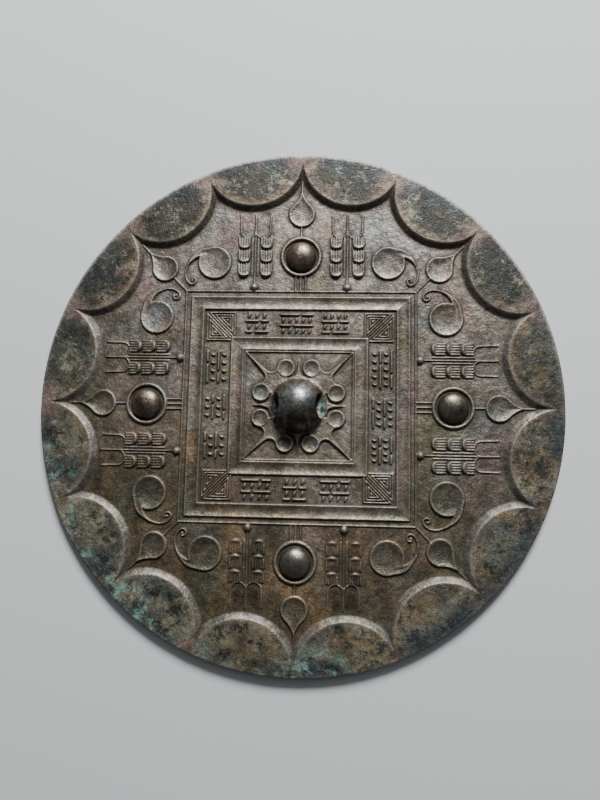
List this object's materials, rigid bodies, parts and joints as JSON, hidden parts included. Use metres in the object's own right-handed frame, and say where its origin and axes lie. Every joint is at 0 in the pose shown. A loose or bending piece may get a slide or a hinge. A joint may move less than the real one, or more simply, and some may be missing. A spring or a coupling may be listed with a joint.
{
  "type": "ancient bronze mirror",
  "caption": "Round cast bronze mirror lying pattern up, with a rim of linked arcs, square frames, leaves, buds, bosses and a pierced central knob for a cord.",
  "frame": {"origin": "centre of the flat reflecting face, which the mirror lies on", "axes": "+Z out of the patterned side through the knob, +X along the knob's cord tunnel, +Y across it towards the top of the pattern"},
  "size_m": [0.16, 0.16, 0.0103],
  "materials": {
    "bronze": "aged cast bronze, grey-brown with darker rim segments and spots of green crust"
  },
  "bodies": {
    "root": {"mirror": "bronze"}
  },
  "joints": []
}
